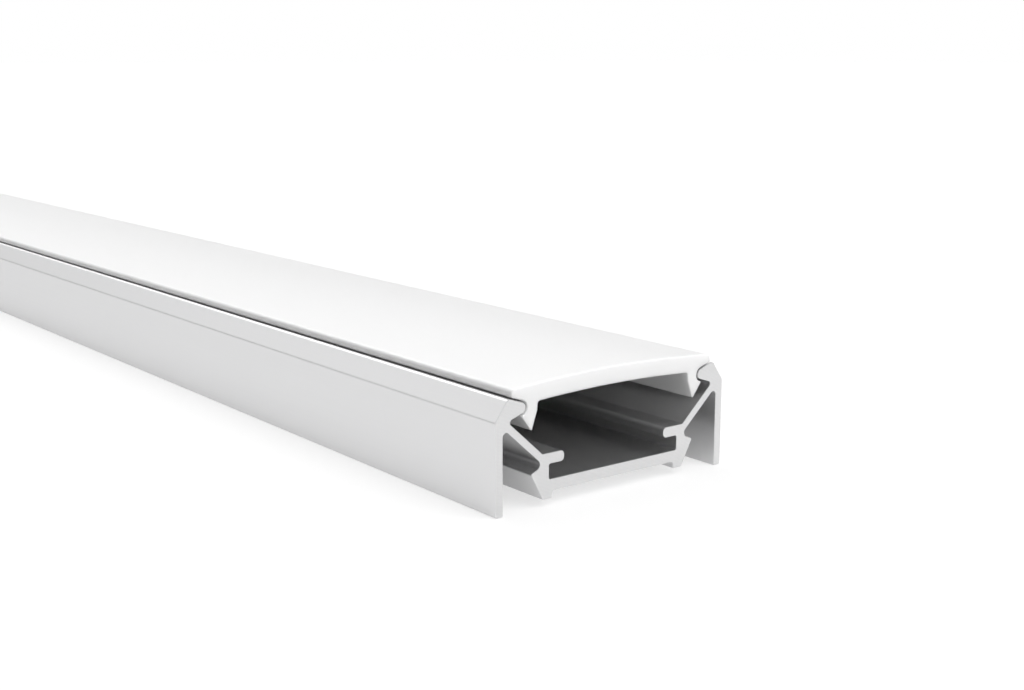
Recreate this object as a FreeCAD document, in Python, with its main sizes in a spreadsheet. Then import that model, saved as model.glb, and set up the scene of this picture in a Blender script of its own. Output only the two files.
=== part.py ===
# LED strip profile: an extruded aluminium bar and the opal cover that snaps between its lugs.
# X is the width, Y the length and Z the height, in millimetres. The origin is on the surface
# that the two outer legs stand on, under the middle of the bar. Both sections are symmetric
# about the YZ plane, so each is drawn as its right half, padded along Y and mirrored.
import FreeCAD, Part
import math
import os
import Sketcher

# Driving dimensions, in millimetres and degrees
DIMENSIONS = {
    # Whole bar
    "overall_width": 30.0,
    "bar_length": 1000.0,
    # Outer legs, with the bevel along their top
    "leg_wall": 0.9,
    "leg_outer_round": 0.25,
    "leg_inner_round": 0.15,
    "bevel_inset": 1.5,
    "bevel_height": 2.13,
    "bevel_round": 0.4,
    # Lugs that hold the cover: wedges with a round nose that point at the middle
    "lug_height": 10.3,
    "lug_angle": 19.0,
    "lug_reach": 3.6,
    "nose_radius": 0.57,
    "lug_top_round": 0.5,
    # Strip channel: seat, side walls and the lips over them
    "seat_width": 17.0,
    "floor_lift": 1.5,
    "floor_wall": 1.2,
    "channel_wall": 0.7,
    "channel_round": 0.22,
    "lip_reach": 1.9,
    "lip_clearance": 1.55,
    "lip_wall": 1.1,
    "lip_round": 0.45,
    # Slanting webs that carry the channel between the legs
    "web_wall": 0.78,
    "web_root_inset": 0.8,
    "web_root_round": 0.3,
    "notch_inset": 1.5,
    "notch_round": 0.3,
    "cavity_round": 0.4,
    # Feet under the channel, with the hooks that a mounting clip grips
    "foot_drop": 0.75,
    "foot_inset": 0.4,
    "foot_root_round": 0.35,
    "sole_width": 1.15,
    "sole_round": 0.15,
    "hook_reach": 2.25,
    "hook_height": 2.08,
    "hook_tip_round": 0.2,
    "hook_root_round": 0.5,
    # Cover: crowned plate, flanges over the lugs and barbed legs under them
    "cover_clearance": 0.15,
    "barb_play": 0.1,
    "barb_reach": 0.15,
    "barb_round": 0.06,
    "cover_leg_drop": 2.47,
    "cover_leg_tip_inset": 0.74,
    "cover_leg_tip_round": 0.1,
    "cover_leg_bend_drop": 0.49,
    "cover_leg_bend_inset": 1.455,
    "cover_leg_bend_round": 1.5,
    "cover_leg_root_inset": 1.515,
    "cover_leg_root_round": 0.3,
    "crown_radius": 145.0,
    "plate_rise": 0.7,
    "plate_wall": 1.8,
    "flange_inset": 1.9,
    "flange_round": 0.4,
    "flange_lower_round": 0.25,
}

# Places on the sections, worked out from the driving dimensions in the sheet named dim
PLACES = {
    "half_width": "dim.overall_width / 2",
    "leg_inner_x": "half_width - dim.leg_wall",
    # The lug's two faces, carried on past the round nose, meet at its apex
    "nose_x": "half_width - dim.lug_reach",
    "nose_centre_x": "nose_x + dim.nose_radius",
    "lug_slope": "tan(dim.lug_angle)",
    "lug_apex_x": "nose_centre_x - dim.nose_radius / sin(dim.lug_angle)",
    "lug_top_x": "half_width - dim.bevel_inset",
    "lug_top_z": "dim.lug_height + (lug_top_x - lug_apex_x) * lug_slope",
    "bevel_foot_z": "lug_top_z - dim.bevel_height",
    "notch_x": "half_width - dim.notch_inset",
    "notch_z": "dim.lug_height - (notch_x - lug_apex_x) * lug_slope",
    # Strip channel
    "channel_x": "dim.seat_width / 2",
    "lip_tip_x": "channel_x - dim.lip_reach",
    "seat_z": "dim.floor_lift + dim.floor_wall",
    "lip_bottom_z": "seat_z + dim.lip_clearance",
    "lip_top_z": "lip_bottom_z + dim.lip_wall",
    "lip_radius": "min(dim.lip_round; 0.45 * dim.lip_wall)",
    # The web's upper face runs from the lip to the notch under the lug
    "web_root_x": "channel_x + dim.web_root_inset",
    "web_slope": "(notch_z - lip_top_z) / (notch_x - web_root_x)",
    "web_drop": "dim.web_wall * sqrt(1 + web_slope ^ 2)",
    "cavity_top_z": "notch_z + (leg_inner_x - notch_x) * web_slope - web_drop",
    # Foot and hook
    "hook_root_x": "channel_x + dim.channel_wall",
    "hook_root_z": "lip_top_z + (hook_root_x - web_root_x) * web_slope - web_drop",
    "hook_tip_x": "channel_x + dim.hook_reach",
    "hook_tip_z": "dim.floor_lift + dim.hook_height",
    "foot_inner_x": "channel_x - dim.foot_inset",
    "foot_outer_x": "foot_inner_x + dim.sole_width",
    "sole_z": "dim.floor_lift - dim.foot_drop",
    # The cover's groove follows the lug at the clearance, with some play under it
    "groove_radius": "dim.nose_radius + dim.cover_clearance + dim.barb_play / 2",
    "groove_apex_x": "nose_centre_x - groove_radius / sin(dim.lug_angle)",
    "groove_apex_z": "dim.lug_height - dim.barb_play / 2 / cos(dim.lug_angle)",
    "barb_x": "nose_centre_x - groove_radius * sin(dim.lug_angle) + dim.barb_reach",
    "barb_z": "groove_apex_z - (barb_x - groove_apex_x) * lug_slope",
    "flange_x": "half_width - dim.flange_inset",
    "flange_bottom_z": "groove_apex_z + (flange_x - groove_apex_x) * lug_slope",
    "cover_leg_tip_x": "nose_x - dim.cover_leg_tip_inset",
    "cover_leg_tip_z": "dim.lug_height - dim.cover_leg_drop",
    "cover_leg_bend_x": "nose_x - dim.cover_leg_bend_inset",
    "cover_leg_bend_z": "dim.lug_height - dim.cover_leg_bend_drop",
    # The plate is crowned: both its faces are arcs centred below it in the middle plane
    "plate_bottom_z": "dim.lug_height + dim.plate_rise",
    "plate_top_z": "plate_bottom_z + dim.plate_wall",
    "cover_leg_root_x": "nose_x - dim.cover_leg_root_inset",
    "cover_leg_root_fall": "dim.crown_radius - sqrt(dim.crown_radius ^ 2 - cover_leg_root_x ^ 2)",
    "cover_leg_root_z": "plate_bottom_z - cover_leg_root_fall",
    "crown_top_radius": "dim.crown_radius + dim.plate_wall",
    "flange_top_fall": "crown_top_radius - sqrt(crown_top_radius ^ 2 - flange_x ^ 2)",
    "flange_top_z": "plate_top_z - flange_top_fall",
    "flange_radius": "min(dim.flange_round; 0.55 * (flange_top_z - flange_bottom_z))",
}

# A section's right half: each corner's X, Z and rounding. A place of None lies on the axis,
# and the first and last corners lie in the middle plane.
PROFILE_CORNERS = [
    (None, "floor_lift", None),
    ("foot_inner_x", "floor_lift", "foot_root_round"),
    ("foot_inner_x", "sole_z", "sole_round"),
    ("foot_outer_x", "sole_z", "sole_round"),
    ("hook_tip_x", "hook_tip_z", "hook_tip_round"),
    ("hook_root_x", "hook_root_z", "hook_root_round"),
    ("leg_inner_x", "cavity_top_z", "cavity_round"),
    ("leg_inner_x", None, "leg_inner_round"),
    ("half_width", None, "leg_outer_round"),
    ("half_width", "bevel_foot_z", "bevel_round"),
    ("lug_top_x", "lug_top_z", "lug_top_round"),
    ("lug_apex_x", "lug_height", "nose_radius"),
    ("notch_x", "notch_z", "notch_round"),
    ("web_root_x", "lip_top_z", "web_root_round"),
    ("lip_tip_x", "lip_top_z", "lip_radius"),
    ("lip_tip_x", "lip_bottom_z", "lip_radius"),
    ("channel_x", "lip_bottom_z", "channel_round"),
    ("channel_x", "seat_z", "channel_round"),
    (None, "seat_z", None),
]
COVER_CORNERS = [
    (None, "plate_bottom_z", None),
    ("cover_leg_root_x", "cover_leg_root_z", "cover_leg_root_round"),
    ("cover_leg_bend_x", "cover_leg_bend_z", "cover_leg_bend_round"),
    ("cover_leg_tip_x", "cover_leg_tip_z", "cover_leg_tip_round"),
    ("barb_x", "barb_z", "barb_round"),
    ("groove_apex_x", "groove_apex_z", "groove_radius"),
    ("flange_x", "flange_bottom_z", "flange_lower_round"),
    ("flange_x", "flange_top_z", "flange_radius"),
    (None, "plate_top_z", None),
]
# The cover's first and last sides, which touch the middle plane, are the arcs of its crown
COVER_CROWNED_SIDES = (0, len(COVER_CORNERS) - 2)

# How a sketch's constraints refer to its origin, its axes and the points of a curve
ORIGIN_ID = X_AXIS_ID = -1
Z_AXIS_ID = -2
START, END, CENTRE = range(1, 4)


def add_sheet(doc, name, cells):
    """A sheet with one row for each name: the name beside its number or formula."""
    sheet = doc.addObject("Spreadsheet::Sheet", name)
    for row, (alias, content) in enumerate(cells.items(), start=1):
        sheet.set(f"A{row}", alias)
        sheet.set(f"B{row}", content)
        sheet.setAlias(f"B{row}", alias)
    doc.recompute()
    return sheet


def cell(alias):
    """The expression that reads a name from the sheet which holds it."""
    return f"dim.{alias}" if alias in DIMENSIONS else f"places.{alias}"


def value(doc, alias):
    """The number that a name stands for now."""
    sheet = doc.dim if alias in DIMENSIONS else doc.places
    return float(getattr(sheet, alias))


def constrain(sketch, kind, *references, size=None):
    """Add a constraint, and tie it to the sheet if it has a size."""
    if size is None:
        return sketch.addConstraint(Sketcher.Constraint(kind, *references))
    number = sketch.addConstraint(Sketcher.Constraint(kind, *references, value(sketch.Document, size)))
    sketch.setExpression(f"Constraints[{number}]", cell(size))
    return number


def add_corner_point(sketch, x_name, z_name):
    """A construction point at a corner, placed by the sheet. Gives its number and place."""
    doc = sketch.Document
    place = FreeCAD.Vector(
        value(doc, x_name) if x_name else 0,
        value(doc, z_name) if z_name else 0,
        0,
    )
    point = sketch.addGeometry(Part.Point(place), True)
    if x_name:
        constrain(sketch, "DistanceX", ORIGIN_ID, START, point, START, size=x_name)
    else:
        constrain(sketch, "PointOnObject", point, START, Z_AXIS_ID)
    if z_name:
        constrain(sketch, "DistanceY", ORIGIN_ID, START, point, START, size=z_name)
    else:
        constrain(sketch, "PointOnObject", point, START, X_AXIS_ID)
    return point, place


def rounding_at(before, corner, after, radius):
    """The arc that rounds the corner between two straights: its centre, start and end."""
    back = (before - corner).normalize()
    ahead = (after - corner).normalize()
    half_angle = back.getAngle(ahead) / 2
    tangent_length = radius / math.tan(half_angle)
    bisector = (back + ahead).normalize()
    centre = corner + bisector * (radius / math.sin(half_angle))
    return centre, corner + back * tangent_length, corner + ahead * tangent_length


def add_rounding(sketch, centre, start, end, radius_name):
    """An arc from start to end the short way round. Gives its number and its two end roles."""
    first = start - centre
    last = end - centre
    turns_left = first.cross(last).z > 0
    if not turns_left:
        first, last = last, first
    circle = Part.Circle(centre, FreeCAD.Vector(0, 0, 1), first.Length)
    arc = Part.ArcOfCircle(circle, math.atan2(first.y, first.x), math.atan2(last.y, last.x))
    number = sketch.addGeometry(arc)
    constrain(sketch, "Radius", number, size=radius_name)
    return (number, START, END) if turns_left else (number, END, START)


def add_crowned_side(sketch, start, end, on_axis):
    """An arc that crosses the middle plane square at on_axis. Gives its number and end roles."""
    off_axis = end if on_axis == start else start
    rise = on_axis.y - off_axis.y
    radius = (off_axis.x ** 2 + rise ** 2) / (2 * rise)
    centre = FreeCAD.Vector(0, on_axis.y - radius, 0)
    circle = Part.Circle(centre, FreeCAD.Vector(0, 0, 1), radius)
    off_angle = math.atan2(off_axis.y - centre.y, off_axis.x)
    number = sketch.addGeometry(Part.ArcOfCircle(circle, off_angle, math.pi / 2))
    constrain(sketch, "PointOnObject", number, CENTRE, Z_AXIS_ID)
    return (number, END, START) if on_axis == start else (number, START, END)


def draw_half_section(sketch, corners, crowned_sides=()):
    """Draw a closed outline through the corners, rounded where they say so."""
    doc = sketch.Document
    points = [add_corner_point(sketch, x_name, z_name) for x_name, z_name, _ in corners]
    places = [place for _, place in points]
    last = len(corners) - 1

    # Where each side starts and ends, and the roundings between sides
    roundings = {}
    side_start = dict(enumerate(places))
    side_end = {index - 1: place for index, place in enumerate(places)}
    for index, (_, _, radius_name) in enumerate(corners):
        if radius_name:
            radius = value(doc, radius_name)
            centre, start, end = rounding_at(places[index - 1], places[index], places[index + 1], radius)
            roundings[index] = add_rounding(sketch, centre, start, end, radius_name)
            side_end[index - 1] = start
            side_start[index] = end

    # The sides run through the corner points
    sides = []
    for index in range(last):
        if index in crowned_sides:
            on_axis = places[0] if index == 0 else places[last]
            side = add_crowned_side(sketch, side_start[index], side_end[index], on_axis)
        else:
            line = Part.LineSegment(side_start[index], side_end[index])
            side = (sketch.addGeometry(line), START, END)
        sides.append(side)
        for corner in (index, index + 1):
            if corner in roundings:
                constrain(sketch, "PointOnObject", points[corner][0], START, side[0])

    # Join the sides smoothly at the roundings, and to the middle plane at both ends
    for index, (arc, arc_start, arc_end) in roundings.items():
        before, _, before_end = sides[index - 1]
        after, after_start, _ = sides[index]
        constrain(sketch, "Tangent", before, before_end, arc, arc_start)
        constrain(sketch, "Tangent", arc, arc_end, after, after_start)
    constrain(sketch, "Coincident", sides[0][0], sides[0][1], points[0][0], START)
    constrain(sketch, "Coincident", sides[-1][0], sides[-1][2], points[last][0], START)
    closing = sketch.addGeometry(Part.LineSegment(places[last], places[0]))
    constrain(sketch, "Coincident", closing, START, points[last][0], START)
    constrain(sketch, "Coincident", closing, END, points[0][0], START)


def origin_plane(body, role):
    """One of the body's own origin planes."""
    return next(item for item in body.Origin.OriginFeatures if item.Role == role)


def extruded_bar(doc, name, corners, crowned_sides=()):
    """A body whose half section is padded over the bar's length and mirrored."""
    body = doc.addObject("PartDesign::Body", name)
    body.Label = name
    sketch = body.newObject("Sketcher::SketchObject", f"{name}_half_section")
    sketch.AttachmentSupport = [(origin_plane(body, "XZ_Plane"), "")]
    sketch.MapMode = "FlatFace"
    draw_half_section(sketch, corners, crowned_sides)
    doc.recompute()

    half = body.newObject("PartDesign::Pad", f"{name}_half")
    half.Profile = sketch
    half.SideType = "Symmetric"
    half.setExpression("Length", "dim.bar_length")
    doc.recompute()

    whole = body.newObject("PartDesign::Mirrored", f"{name}_whole")
    whole.Originals = [half]
    whole.MirrorPlane = (origin_plane(body, "YZ_Plane"), [""])
    body.Tip = whole
    doc.recompute()
    return body


def check_document(doc, bodies):
    """Stop if any object failed or a body has no sound solid."""
    for item in doc.Objects:
        if "Invalid" in item.State or "Error" in item.State:
            raise RuntimeError(f"{item.Name} failed: {item.State}")
    for body in bodies:
        sketch = body.Group[0]
        half = body.Group[1]
        if sketch.solve() != 0 or not sketch.FullyConstrained:
            raise RuntimeError(f"{sketch.Name} is not fully constrained")
        if body.Shape.isNull() or not body.Shape.isValid() or len(body.Shape.Solids) != 1:
            raise RuntimeError(f"{body.Label} has no sound solid")
        if abs(body.Shape.Volume / half.Shape.Volume - 2) > 1e-6:
            raise RuntimeError(f"{body.Label} is not mirrored")


def main():
    doc = FreeCAD.newDocument("led_strip_profile")
    add_sheet(doc, "dim", {alias: str(size) for alias, size in DIMENSIONS.items()})
    add_sheet(doc, "places", {alias: f"={formula}" for alias, formula in PLACES.items()})
    bodies = [
        extruded_bar(doc, "aluminium_profile", PROFILE_CORNERS),
        extruded_bar(doc, "diffuser_cover", COVER_CORNERS, COVER_CROWNED_SIDES),
    ]
    check_document(doc, bodies)
    os.makedirs("parts", exist_ok=True)
    for body in bodies:
        body.Shape.exportStep(f"parts/{body.Label}.step")
        section = body.Shape.Volume / value(doc, "bar_length")
        print(f"{body.Label}: section {section:.2f} square mm, box {body.Shape.BoundBox}")


main()
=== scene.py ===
import math

import bpy
from mathutils import Euler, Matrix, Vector


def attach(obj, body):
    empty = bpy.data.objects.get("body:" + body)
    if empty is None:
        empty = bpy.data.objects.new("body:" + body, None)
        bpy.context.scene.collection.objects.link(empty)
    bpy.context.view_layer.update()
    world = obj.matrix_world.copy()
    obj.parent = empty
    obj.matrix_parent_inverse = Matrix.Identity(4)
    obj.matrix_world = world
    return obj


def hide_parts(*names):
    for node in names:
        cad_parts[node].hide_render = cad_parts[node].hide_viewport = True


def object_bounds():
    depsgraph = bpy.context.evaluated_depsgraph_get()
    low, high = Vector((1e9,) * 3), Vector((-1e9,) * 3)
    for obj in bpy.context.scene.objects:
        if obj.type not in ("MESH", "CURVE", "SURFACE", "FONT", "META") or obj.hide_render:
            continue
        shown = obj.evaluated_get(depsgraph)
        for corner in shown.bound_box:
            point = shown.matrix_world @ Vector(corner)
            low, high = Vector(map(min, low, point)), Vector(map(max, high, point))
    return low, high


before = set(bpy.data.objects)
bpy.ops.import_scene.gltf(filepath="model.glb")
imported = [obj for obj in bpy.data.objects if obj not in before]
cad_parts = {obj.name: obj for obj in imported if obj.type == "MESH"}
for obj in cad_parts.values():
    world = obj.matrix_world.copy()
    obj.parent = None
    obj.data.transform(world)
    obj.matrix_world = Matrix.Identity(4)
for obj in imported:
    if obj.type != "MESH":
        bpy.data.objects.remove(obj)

cad_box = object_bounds()

# The section's sizes are in millimetres, as on a profile maker's drawing
MM = 0.001

# Whole bar, read from the frame
LOW, HIGH = cad_box
HALF_WIDTH = HIGH.x / MM
NEAR_END = LOW.y / MM
FAR_END = HIGH.y / MM

# Outer legs and lugs
LEG_WALL = 0.9
LEG_OUTER_ROUND = 0.25
LEG_INNER_ROUND = 0.15
BEVEL_INSET = 1.5
BEVEL_HEIGHT = 2.13
BEVEL_ROUND = 0.4
LUG_HEIGHT = 10.3
LUG_ANGLE = math.radians(19)
LUG_REACH = 3.6
NOSE_RADIUS = 0.57
LUG_TOP_ROUND = 0.5

# Strip channel, webs, feet and hooks
SEAT_WIDTH = 17.0
FLOOR_LIFT = 1.5
FLOOR_WALL = 1.2
CHANNEL_WALL = 0.7
CHANNEL_ROUND = 0.22
LIP_REACH = 1.9
LIP_CLEARANCE = 1.55
LIP_WALL = 1.1
LIP_ROUND = 0.45
WEB_WALL = 0.78
WEB_ROOT_INSET = 0.8
WEB_ROOT_ROUND = 0.3
NOTCH_INSET = 1.5
NOTCH_ROUND = 0.3
CAVITY_ROUND = 0.4
FOOT_DROP = 0.75
FOOT_INSET = 0.4
FOOT_ROOT_ROUND = 0.35
SOLE_WIDTH = 1.15
SOLE_ROUND = 0.15
HOOK_REACH = 2.25
HOOK_HEIGHT = 2.08
HOOK_TIP_ROUND = 0.2
HOOK_ROOT_ROUND = 0.5

# Cover
COVER_CLEARANCE = 0.15
BARB_PLAY = 0.1
BARB_REACH = 0.15
BARB_ROUND = 0.06
COVER_LEG_DROP = 2.47
COVER_LEG_TIP_INSET = 0.74
COVER_LEG_TIP_ROUND = 0.1
COVER_LEG_BEND_DROP = 0.49
COVER_LEG_BEND_INSET = 1.455
COVER_LEG_BEND_ROUND = 1.5
COVER_LEG_ROOT_INSET = 1.515
COVER_LEG_ROOT_ROUND = 0.3
CROWN_RADIUS = 145.0
PLATE_RISE = 0.7
PLATE_WALL = 1.8
CROWN_TOP_RADIUS = CROWN_RADIUS + PLATE_WALL
FLANGE_INSET = 1.9
FLANGE_ROUND = 0.4
FLANGE_LOWER_ROUND = 0.25

# Fineness of the meshes
ARC_STEP = math.radians(6)
CROWN_STEPS = 14
END_ROUND_STEPS = 4

# Broken edges at the cut ends; a round takes no more than this share of a corner's own radius
METAL_END_ROUND = 0.08
COVER_END_ROUND = 0.13
END_ROUND_SHARE = 0.8

# How squarely a face looks along the bar where it belongs to a cut end, from 0 to 1
END_FACING = 0.9

# Metal: colour, roughness from low to high, and die lines as grains to a metre along each axis
METAL_COLOUR = (0.74, 0.74, 0.744, 1)
METAL_ROUGHNESS = (0.36, 0.46)
METAL_GRAIN = (6000, 12, 6000)
METAL_RELIEF = 0.10

# Cut ends: how far the section lies from the middle of the saw, in metres, and its arcs' fineness
CUT_COLOUR = (0.77, 0.77, 0.772, 1)
CUT_ROUGHNESS = (0.42, 0.50)
CUT_RELIEF = 0.15
SAW_OFFSET = (0.06, 0.0, 0.12)
SAW_ARC_SCALE = 900.0
SAW_WANDER = 4.0
SAW_WANDER_SCALE = 0.3

# Opal plastic: how far light soaks in, in metres, and a fine grain the same along every axis
OPAL_COLOUR = (0.93, 0.93, 0.925, 1)
OPAL_SOAK = 0.0006
OPAL_ROUGHNESS = (0.28, 0.36)
OPAL_GRAIN = (4000, 4000, 4000)
OPAL_RELIEF = 0.05

# Depths, in metres, of which each relief above is a share
METAL_RELIEF_DEPTH = 0.00002
OPAL_RELIEF_DEPTH = 0.00001

# Finer octaves in the grain and in the wander of the saw's arcs
PATTERN_DETAIL = 3.0

# Camera, solved from the near end face: place in millimetres from that face's foot, angles in degrees
CAMERA_PLACE = Vector((-91.86, -101.58, 42.88))
CAMERA_PITCH = 11.618
CAMERA_YAW = 37.833
LENS_MM = 49.89
SENSOR_MM = 36.0
CLIP_METRES = (0.005, 50)
FRAME_WIDTH_PIXELS = 1024
CENTRE_SHIFT_PIXELS = 0.5

# Surround: how bright it is at a height above the horizon, from 0 to 1
SOFT_LEVELS = [(0.0, 0.12), (0.40, 0.12), (0.70, 0.50), (1.0, 0.50)]
REFLECTED_LEVELS = [(0.0, 0.12), (0.10, 0.12), (0.24, 1.08), (0.60, 1.08), (0.75, 0.5), (1.0, 0.5)]

# Lamps: where each one's light comes from, how wide it is and how strong
KEY_FROM = (0.15, -0.75, 0.64)
KEY_SPREAD = math.radians(80)
KEY_STRENGTH = 2.6
OVERHEAD_FROM = (0.3, 0.4, 0.87)
OVERHEAD_SPREAD = math.radians(70)
OVERHEAD_STRENGTH = 0.25
RIM_FROM = (0.1, 0.77, 0.63)
RIM_SPREAD = math.radians(20)
RIM_STRENGTH = 0.35

# Floor: half its side in metres, then paint and glow for soft light, the camera and reflections
FLOOR_HALF_SIDE = 6.0
FLOOR_PAINT = 0.4
FLOOR_PAINT_SEEN = 0.44
FLOOR_GLOW_SEEN = 0.585
FLOOR_PAINT_REFLECTED = 0.78
FLOOR_GLOW_REFLECTED = 0.26


def section_places():
    """The corners of both half sections, from the sizes above: X, Z and rounding of each."""
    leg_inner_x = HALF_WIDTH - LEG_WALL
    nose_x = HALF_WIDTH - LUG_REACH
    nose_centre_x = nose_x + NOSE_RADIUS
    lug_slope = math.tan(LUG_ANGLE)
    lug_apex_x = nose_centre_x - NOSE_RADIUS / math.sin(LUG_ANGLE)
    lug_top_x = HALF_WIDTH - BEVEL_INSET
    lug_top_z = LUG_HEIGHT + (lug_top_x - lug_apex_x) * lug_slope
    notch_x = HALF_WIDTH - NOTCH_INSET
    notch_z = LUG_HEIGHT - (notch_x - lug_apex_x) * lug_slope
    channel_x = SEAT_WIDTH / 2
    lip_tip_x = channel_x - LIP_REACH
    seat_z = FLOOR_LIFT + FLOOR_WALL
    lip_bottom_z = seat_z + LIP_CLEARANCE
    lip_top_z = lip_bottom_z + LIP_WALL
    web_root_x = channel_x + WEB_ROOT_INSET
    web_slope = (notch_z - lip_top_z) / (notch_x - web_root_x)
    web_drop = WEB_WALL * math.hypot(1, web_slope)
    cavity_top_z = notch_z + (leg_inner_x - notch_x) * web_slope - web_drop
    hook_root_x = channel_x + CHANNEL_WALL
    hook_root_z = lip_top_z + (hook_root_x - web_root_x) * web_slope - web_drop
    foot_inner_x = channel_x - FOOT_INSET
    sole_z = FLOOR_LIFT - FOOT_DROP
    profile = [
        (0, FLOOR_LIFT, 0),
        (foot_inner_x, FLOOR_LIFT, FOOT_ROOT_ROUND),
        (foot_inner_x, sole_z, SOLE_ROUND),
        (foot_inner_x + SOLE_WIDTH, sole_z, SOLE_ROUND),
        (channel_x + HOOK_REACH, FLOOR_LIFT + HOOK_HEIGHT, HOOK_TIP_ROUND),
        (hook_root_x, hook_root_z, HOOK_ROOT_ROUND),
        (leg_inner_x, cavity_top_z, CAVITY_ROUND),
        (leg_inner_x, 0, LEG_INNER_ROUND),
        (HALF_WIDTH, 0, LEG_OUTER_ROUND),
        (HALF_WIDTH, lug_top_z - BEVEL_HEIGHT, BEVEL_ROUND),
        (lug_top_x, lug_top_z, LUG_TOP_ROUND),
        (lug_apex_x, LUG_HEIGHT, NOSE_RADIUS),
        (notch_x, notch_z, NOTCH_ROUND),
        (web_root_x, lip_top_z, WEB_ROOT_ROUND),
        (lip_tip_x, lip_top_z, LIP_ROUND),
        (lip_tip_x, lip_bottom_z, LIP_ROUND),
        (channel_x, lip_bottom_z, CHANNEL_ROUND),
        (channel_x, seat_z, CHANNEL_ROUND),
        (0, seat_z, 0),
    ]

    groove_radius = NOSE_RADIUS + COVER_CLEARANCE + BARB_PLAY / 2
    groove_apex_x = nose_centre_x - groove_radius / math.sin(LUG_ANGLE)
    groove_apex_z = LUG_HEIGHT - BARB_PLAY / 2 / math.cos(LUG_ANGLE)
    barb_x = nose_centre_x - groove_radius * math.sin(LUG_ANGLE) + BARB_REACH
    flange_x = HALF_WIDTH - FLANGE_INSET
    plate_bottom_z = LUG_HEIGHT + PLATE_RISE
    plate_top_z = plate_bottom_z + PLATE_WALL
    leg_root_x = nose_x - COVER_LEG_ROOT_INSET
    cover = [
        (0, plate_bottom_z, 0),
        (leg_root_x, plate_bottom_z - crown_fall(CROWN_RADIUS, leg_root_x), COVER_LEG_ROOT_ROUND),
        (nose_x - COVER_LEG_BEND_INSET, LUG_HEIGHT - COVER_LEG_BEND_DROP, COVER_LEG_BEND_ROUND),
        (nose_x - COVER_LEG_TIP_INSET, LUG_HEIGHT - COVER_LEG_DROP, COVER_LEG_TIP_ROUND),
        (barb_x, groove_apex_z - (barb_x - groove_apex_x) * lug_slope, BARB_ROUND),
        (groove_apex_x, groove_apex_z, groove_radius),
        (flange_x, groove_apex_z + (flange_x - groove_apex_x) * lug_slope, FLANGE_LOWER_ROUND),
        (flange_x, plate_top_z - crown_fall(CROWN_TOP_RADIUS, flange_x), FLANGE_ROUND),
        (0, plate_top_z, 0),
    ]
    return profile, cover


def crown_fall(radius, x):
    """How far a crowned face has come down at a distance from the middle plane."""
    return radius - math.sqrt(radius ** 2 - x ** 2)


def crown_tangent(radius, x):
    """A long step outwards along a crowned face, from a distance off the middle plane."""
    return Vector((radius - crown_fall(radius, x), -x))


def crowned_side(on_axis, off_axis, radius):
    """Points and outward normals along a crowned face, from the middle plane outwards."""
    facing = 1 if radius == CROWN_TOP_RADIUS else -1
    rows = []
    for step in range(CROWN_STEPS):
        x = off_axis.x * step / CROWN_STEPS
        fall = crown_fall(radius, x)
        normal = Vector((x, radius - fall)).normalized() * facing
        rows.append((Vector((x, on_axis.y - fall)), normal, math.inf))
    return rows


def rounded_corner(before, corner, after, radius):
    """Points, outward normals and convex radius along the rounding of one corner."""
    back = (before - corner).normalized()
    ahead = (after - corner).normalized()
    half_angle = back.angle(ahead) / 2
    centre = corner + (back + ahead).normalized() * radius / math.sin(half_angle)
    first = corner + back * radius / math.tan(half_angle) - centre
    turn = math.pi - 2 * half_angle
    turns_left = (-back).cross(ahead) > 0
    steps = max(2, math.ceil(turn / ARC_STEP))
    facing = 1 if turns_left else -1
    rows = []
    for step in range(steps + 1):
        angle = facing * turn * step / steps
        spoke = Vector((
            first.x * math.cos(angle) - first.y * math.sin(angle),
            first.x * math.sin(angle) + first.y * math.cos(angle),
        ))
        limit = radius if turns_left else math.inf
        rows.append((centre + spoke, spoke.normalized() * facing, limit))
    return rows


def section_outline(corners, crowned=False):
    """The whole closed outline: a list of points, outward normals and convex radii."""
    places = [Vector((x, z)) for x, z, _ in corners]
    last = len(corners) - 1
    half = []
    if crowned:
        half += crowned_side(places[0], places[1], CROWN_RADIUS)
    else:
        half.append((places[0], Vector((0, -1)), math.inf))
    for index in range(1, last):
        before, corner, after = places[index - 1:index + 2]
        if crowned and index == 1:
            before = corner - crown_tangent(CROWN_RADIUS, corner.x)
        if crowned and index == last - 1:
            after = corner - crown_tangent(CROWN_TOP_RADIUS, corner.x)
        half += rounded_corner(before, corner, after, corners[index][2])
    if crowned:
        top = crowned_side(places[last], places[last - 1], CROWN_TOP_RADIUS)
        half += reversed(top)
    else:
        half.append((places[last], Vector((0, 1)), math.inf))
    other = [
        (Vector((-point.x, point.y)), Vector((-normal.x, normal.y)), limit)
        for point, normal, limit in reversed(half[1:-1])
    ]
    return half + other


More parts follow.
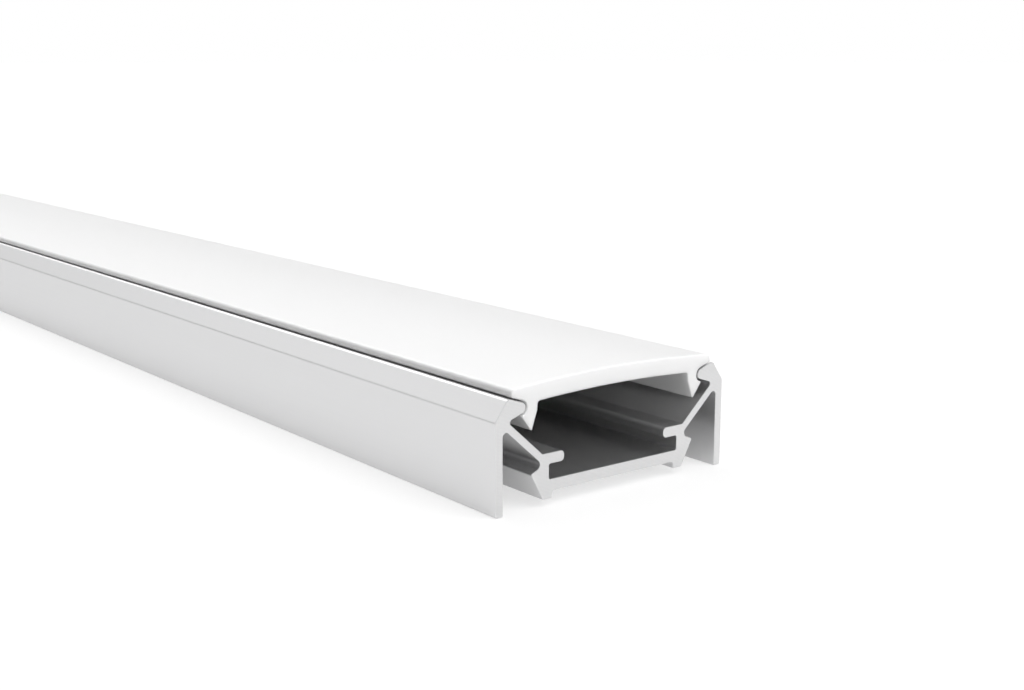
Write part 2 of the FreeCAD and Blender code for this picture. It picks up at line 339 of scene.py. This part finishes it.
def extrude_bar(name, outline, end_round):
    """A bar of one section whose end edges are broken by a small round, with exact normals."""
    rings = []
    for step in range(END_ROUND_STEPS, -1, -1):
        rings.append((math.pi / 2 * step / END_ROUND_STEPS, NEAR_END, 1))
    for step in range(END_ROUND_STEPS + 1):
        rings.append((math.pi / 2 * step / END_ROUND_STEPS, FAR_END, -1))

    places = []
    normals = []
    for angle, end_y, inward in rings:
        for point, normal, limit in outline:
            size = min(end_round, END_ROUND_SHARE * limit)
            inset = size * (1 - math.cos(angle))
            y = end_y + inward * size * (1 - math.sin(angle))
            x, z = point - normal * inset
            places.append(Vector((x, y, z)) * MM)
            side = math.cos(angle)
            normals.append(Vector((normal.x * side, -inward * math.sin(angle), normal.y * side)))

    count = len(outline)
    faces = []
    for ring in range(len(rings) - 1):
        low = ring * count
        for index in range(count):
            following = (index + 1) % count
            faces.append((low + index, low + count + index, low + count + following, low + following))
    faces.append(tuple(range(count)))
    faces.append(tuple(reversed(range(len(places) - count, len(places)))))

    mesh = bpy.data.meshes.new(name)
    mesh.from_pydata(places, [], faces)
    mesh.validate()
    mesh.shade_smooth()
    mesh.normals_split_custom_set_from_vertices(normals)
    piece = bpy.data.objects.new(name, mesh)
    bpy.context.scene.collection.objects.link(piece)
    return piece


def new_material(name):
    """A node material, its tree and its main shader."""
    material = bpy.data.materials.new(name)
    material.use_nodes = True
    tree = material.node_tree
    return material, tree, tree.nodes["Principled BSDF"]


def add_grain(tree, scale):
    """Fine noise by the place on the piece; a low scale along one axis draws it out into streaks."""
    coordinates = tree.nodes.new("ShaderNodeTexCoord")
    mapping = tree.nodes.new("ShaderNodeMapping")
    mapping.inputs["Scale"].default_value = scale
    noise = tree.nodes.new("ShaderNodeTexNoise")
    noise.inputs["Scale"].default_value = 1.0
    noise.inputs["Detail"].default_value = PATTERN_DETAIL
    tree.links.new(coordinates.outputs["Object"], mapping.inputs["Vector"])
    tree.links.new(mapping.outputs["Vector"], noise.inputs["Vector"])
    return noise.outputs["Fac"]


def spread_roughness(tree, shader, value, limits):
    """Roughness that follows a value between two limits."""
    node = tree.nodes.new("ShaderNodeMapRange")
    node.inputs["To Min"].default_value, node.inputs["To Max"].default_value = limits
    tree.links.new(value, node.inputs["Value"])
    tree.links.new(node.outputs["Result"], shader.inputs["Roughness"])


def choose(tree, factor, when_zero, when_one):
    """One value or the other by a factor; each may be a number or a node's output."""
    node = tree.nodes.new("ShaderNodeMix")
    node.data_type = "FLOAT"
    for socket, value in (("A", when_zero), ("B", when_one)):
        if isinstance(value, float):
            node.inputs[socket].default_value = value
        else:
            tree.links.new(value, node.inputs[socket])
    tree.links.new(factor, node.inputs["Factor"])
    return node.outputs["Result"]


def levels_by_height(tree, height, levels):
    """A level for every height, straight between the listed ones."""
    ramp = tree.nodes.new("ShaderNodeValToRGB")
    stops = ramp.color_ramp.elements
    while len(stops) < len(levels):
        stops.new(1.0)
    for stop, (place, level) in zip(stops, levels):
        stop.position = place
        stop.color = (level, level, level, 1)
    tree.links.new(height, ramp.inputs["Fac"])
    return ramp.outputs["Color"]


def add_bump(tree, shader, height, strength, distance):
    """Fine relief from a height value."""
    bump = tree.nodes.new("ShaderNodeBump")
    bump.inputs["Strength"].default_value = strength
    bump.inputs["Distance"].default_value = distance
    tree.links.new(height, bump.inputs["Height"])
    tree.links.new(bump.outputs["Normal"], shader.inputs["Normal"])


def anodised_metal():
    """Satin silver anodising with faint die lines along the bar."""
    material, tree, shader = new_material("satin_anodised_aluminium")
    shader.inputs["Base Color"].default_value = METAL_COLOUR
    shader.inputs["Metallic"].default_value = 1.0
    streaks = add_grain(tree, METAL_GRAIN)
    spread_roughness(tree, shader, streaks, METAL_ROUGHNESS)
    add_bump(tree, shader, streaks, METAL_RELIEF, METAL_RELIEF_DEPTH)
    return material


def cut_metal():
    """The sawn ends: a little rougher, with the faint arcs that a large saw blade leaves."""
    material, tree, shader = new_material("sawn_aluminium")
    shader.inputs["Base Color"].default_value = CUT_COLOUR
    shader.inputs["Metallic"].default_value = 1.0
    coordinates = tree.nodes.new("ShaderNodeTexCoord")
    mapping = tree.nodes.new("ShaderNodeMapping")
    mapping.inputs["Location"].default_value = SAW_OFFSET
    arcs = tree.nodes.new("ShaderNodeTexWave")
    arcs.wave_type = "RINGS"
    arcs.rings_direction = "Y"
    arcs.inputs["Scale"].default_value = SAW_ARC_SCALE
    arcs.inputs["Distortion"].default_value = SAW_WANDER
    arcs.inputs["Detail"].default_value = PATTERN_DETAIL
    arcs.inputs["Detail Scale"].default_value = SAW_WANDER_SCALE
    tree.links.new(coordinates.outputs["Object"], mapping.inputs["Vector"])
    tree.links.new(mapping.outputs["Vector"], arcs.inputs["Vector"])
    spread_roughness(tree, shader, arcs.outputs["Fac"], CUT_ROUGHNESS)
    add_bump(tree, shader, arcs.outputs["Fac"], CUT_RELIEF, METAL_RELIEF_DEPTH)
    return material


def opal_plastic():
    """Milky plastic that lets light soak in, with a soft sheen."""
    material, tree, shader = new_material("opal_plastic")
    shader.inputs["Base Color"].default_value = OPAL_COLOUR
    shader.inputs["Subsurface Weight"].default_value = 1.0
    shader.inputs["Subsurface Radius"].default_value = (1.0, 1.0, 1.0)
    shader.inputs["Subsurface Scale"].default_value = OPAL_SOAK
    grain = add_grain(tree, OPAL_GRAIN)
    spread_roughness(tree, shader, grain, OPAL_ROUGHNESS)
    add_bump(tree, shader, grain, OPAL_RELIEF, OPAL_RELIEF_DEPTH)
    return material


def assign_by_end(piece, side_material, end_material):
    """The cut ends take one material and everything else the other."""
    piece.data.materials.append(side_material)
    piece.data.materials.append(end_material)
    for face in piece.data.polygons:
        if abs(face.normal.y) > END_FACING:
            face.material_index = 1


def add_camera():
    """The photograph's camera: it looks down on the near end from its left."""
    data = bpy.data.cameras.new("camera")
    data.lens = LENS_MM
    data.sensor_width = SENSOR_MM
    data.clip_start, data.clip_end = CLIP_METRES
    data.shift_x = -CENTRE_SHIFT_PIXELS / FRAME_WIDTH_PIXELS
    data.shift_y = CENTRE_SHIFT_PIXELS / FRAME_WIDTH_PIXELS
    camera = bpy.data.objects.new("camera", data)
    camera.location = (CAMERA_PLACE + Vector((0, NEAR_END, 0))) * MM
    camera.rotation_euler = Euler((math.radians(90 - CAMERA_PITCH), 0, math.radians(-CAMERA_YAW)))
    bpy.context.scene.collection.objects.link(camera)
    bpy.context.scene.camera = camera


def add_floor():
    """A large pale floor that keeps the bar's shadow."""
    reach = FLOOR_HALF_SIDE
    mesh = bpy.data.meshes.new("floor")
    corners = [(-reach, -reach, 0), (reach, -reach, 0), (reach, reach, 0), (-reach, reach, 0)]
    mesh.from_pydata(corners, [], [(0, 1, 2, 3)])
    floor = bpy.data.objects.new("floor", mesh)
    bpy.context.scene.collection.objects.link(floor)
    material, tree, shader = new_material("pale_floor")
    shader.inputs["Roughness"].default_value = 1.0
    shader.inputs["Specular IOR Level"].default_value = 0.0
    shader.inputs["Emission Color"].default_value = (1, 1, 1, 1)
    rays = tree.nodes.new("ShaderNodeLightPath")
    paint = choose(tree, rays.outputs["Is Glossy Ray"], FLOOR_PAINT, FLOOR_PAINT_REFLECTED)
    paint = choose(tree, rays.outputs["Is Camera Ray"], paint, FLOOR_PAINT_SEEN)
    tree.links.new(paint, shader.inputs["Base Color"])
    glow = choose(tree, rays.outputs["Is Glossy Ray"], 0.0, FLOOR_GLOW_REFLECTED)
    glow = choose(tree, rays.outputs["Is Camera Ray"], glow, FLOOR_GLOW_SEEN)
    tree.links.new(glow, shader.inputs["Emission Strength"])
    mesh.materials.append(material)


def add_world():
    """A soft surround, white for the camera, with its levels by height for light and reflections."""
    world = bpy.data.worlds.new("studio")
    bpy.context.scene.world = world
    world.use_nodes = True
    tree = world.node_tree
    background = tree.nodes["Background"]
    background.inputs["Color"].default_value = (1, 1, 1, 1)
    direction = tree.nodes.new("ShaderNodeTexCoord")
    split = tree.nodes.new("ShaderNodeSeparateXYZ")
    tree.links.new(direction.outputs["Generated"], split.inputs["Vector"])
    rays = tree.nodes.new("ShaderNodeLightPath")
    soft = levels_by_height(tree, split.outputs["Z"], SOFT_LEVELS)
    reflected = levels_by_height(tree, split.outputs["Z"], REFLECTED_LEVELS)
    level = choose(tree, rays.outputs["Is Glossy Ray"], soft, reflected)
    level = choose(tree, rays.outputs["Is Camera Ray"], level, 1.0)
    tree.links.new(level, background.inputs["Strength"])


def add_sun(name, direction, spread, strength, mirrored=True):
    """A soft distant lamp from a direction; one that isn't mirrored is hidden from reflections."""
    data = bpy.data.lights.new(name, "SUN")
    data.angle = spread
    data.energy = strength
    lamp = bpy.data.objects.new(name, data)
    lamp.rotation_euler = Vector(direction).to_track_quat("Z", "Y").to_euler()
    lamp.visible_glossy = mirrored
    bpy.context.scene.collection.objects.link(lamp)


profile_corners, cover_corners = section_places()

profile = extrude_bar("profile_extrusion", section_outline(profile_corners), METAL_END_ROUND)
assign_by_end(profile, anodised_metal(), cut_metal())
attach(profile, "profile")
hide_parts("aluminium_profile")

cover = extrude_bar("opal_cover", section_outline(cover_corners, crowned=True), COVER_END_ROUND)
cover.data.materials.append(opal_plastic())
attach(cover, "cover")
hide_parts("diffuser_cover")

add_camera()
add_floor()
add_world()
add_sun("key", KEY_FROM, KEY_SPREAD, KEY_STRENGTH, mirrored=False)
add_sun("overhead", OVERHEAD_FROM, OVERHEAD_SPREAD, OVERHEAD_STRENGTH)
add_sun("rim", RIM_FROM, RIM_SPREAD, RIM_STRENGTH)

bpy.context.scene.view_settings.view_transform = "Standard"
